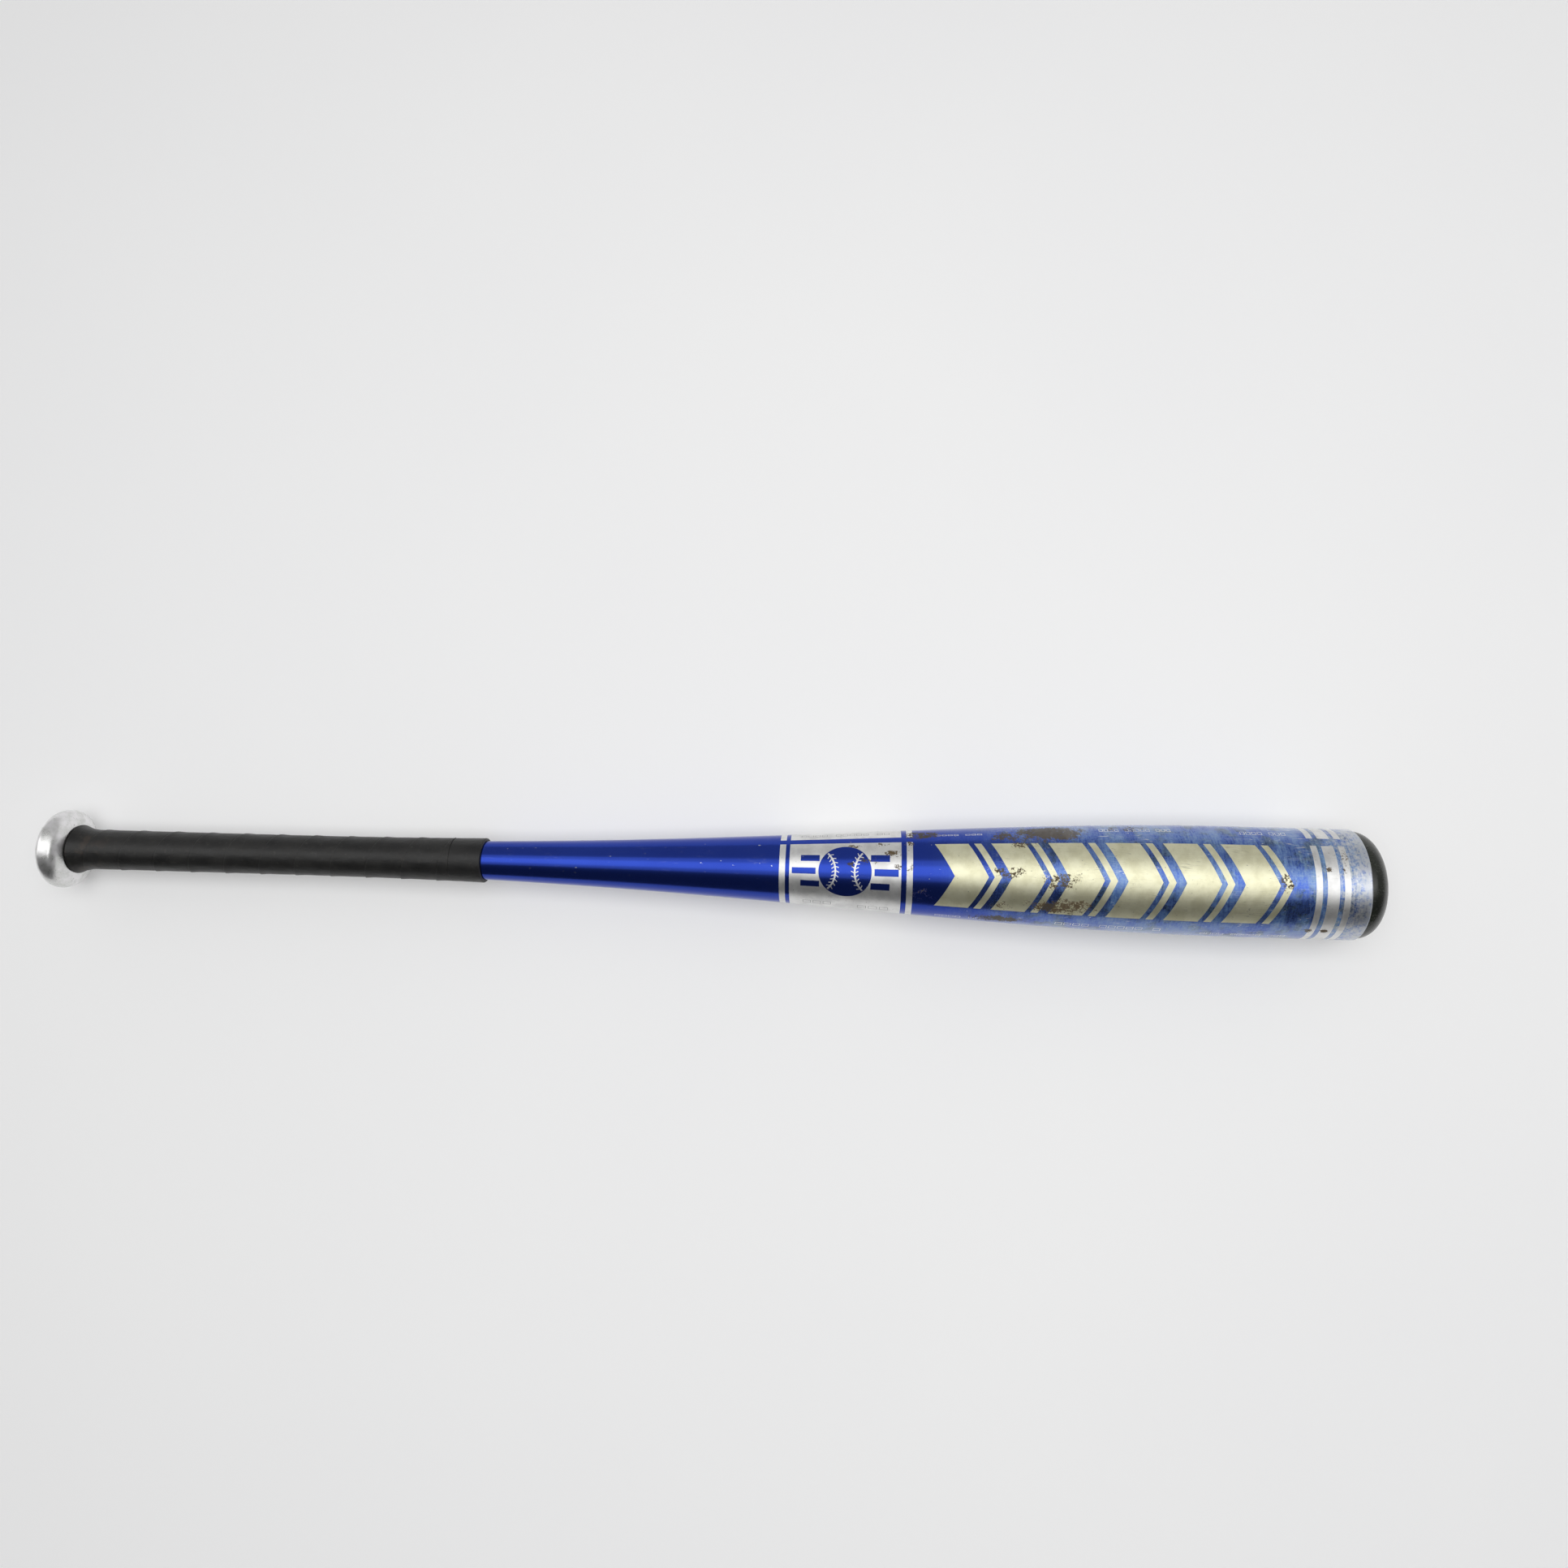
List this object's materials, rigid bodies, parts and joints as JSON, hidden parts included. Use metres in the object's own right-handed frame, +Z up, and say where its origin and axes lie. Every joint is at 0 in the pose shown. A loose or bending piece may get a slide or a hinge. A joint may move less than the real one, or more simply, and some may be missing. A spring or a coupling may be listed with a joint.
{
  "type": "baseball bat",
  "caption": "One-piece hollow aluminium baseball bat with a rounded knob, a spiral-wound grip with a collar, a tapered handle and a domed snap-in end cap.",
  "frame": {"origin": "centre of the knob's flat end face", "axes": "+X along the bat from the knob to the tip of the cap, +Z up with the bat lying down and the middle of its print facing up"},
  "size_m": [0.7874, 0.0634, 0.0636],
  "materials": {
    "shell": "blue anodised, worn",
    "knob": "bare, lightly polished",
    "weld": "as welded",
    "backing": "adhesive-backed cloth",
    "grip": "worn smooth",
    "collar": "worn smooth",
    "cap": "cast urethane, scuffed",
    "foam": "rigid foam"
  },
  "bodies": {
    "root": {"shell": "shell", "knob": "knob", "knob_weld": "weld", "grip_backing": "backing", "grip_wrap": "grip", "grip_collar": "collar", "end_cap": "cap", "foam_plug": "foam"}
  },
  "joints": []
}
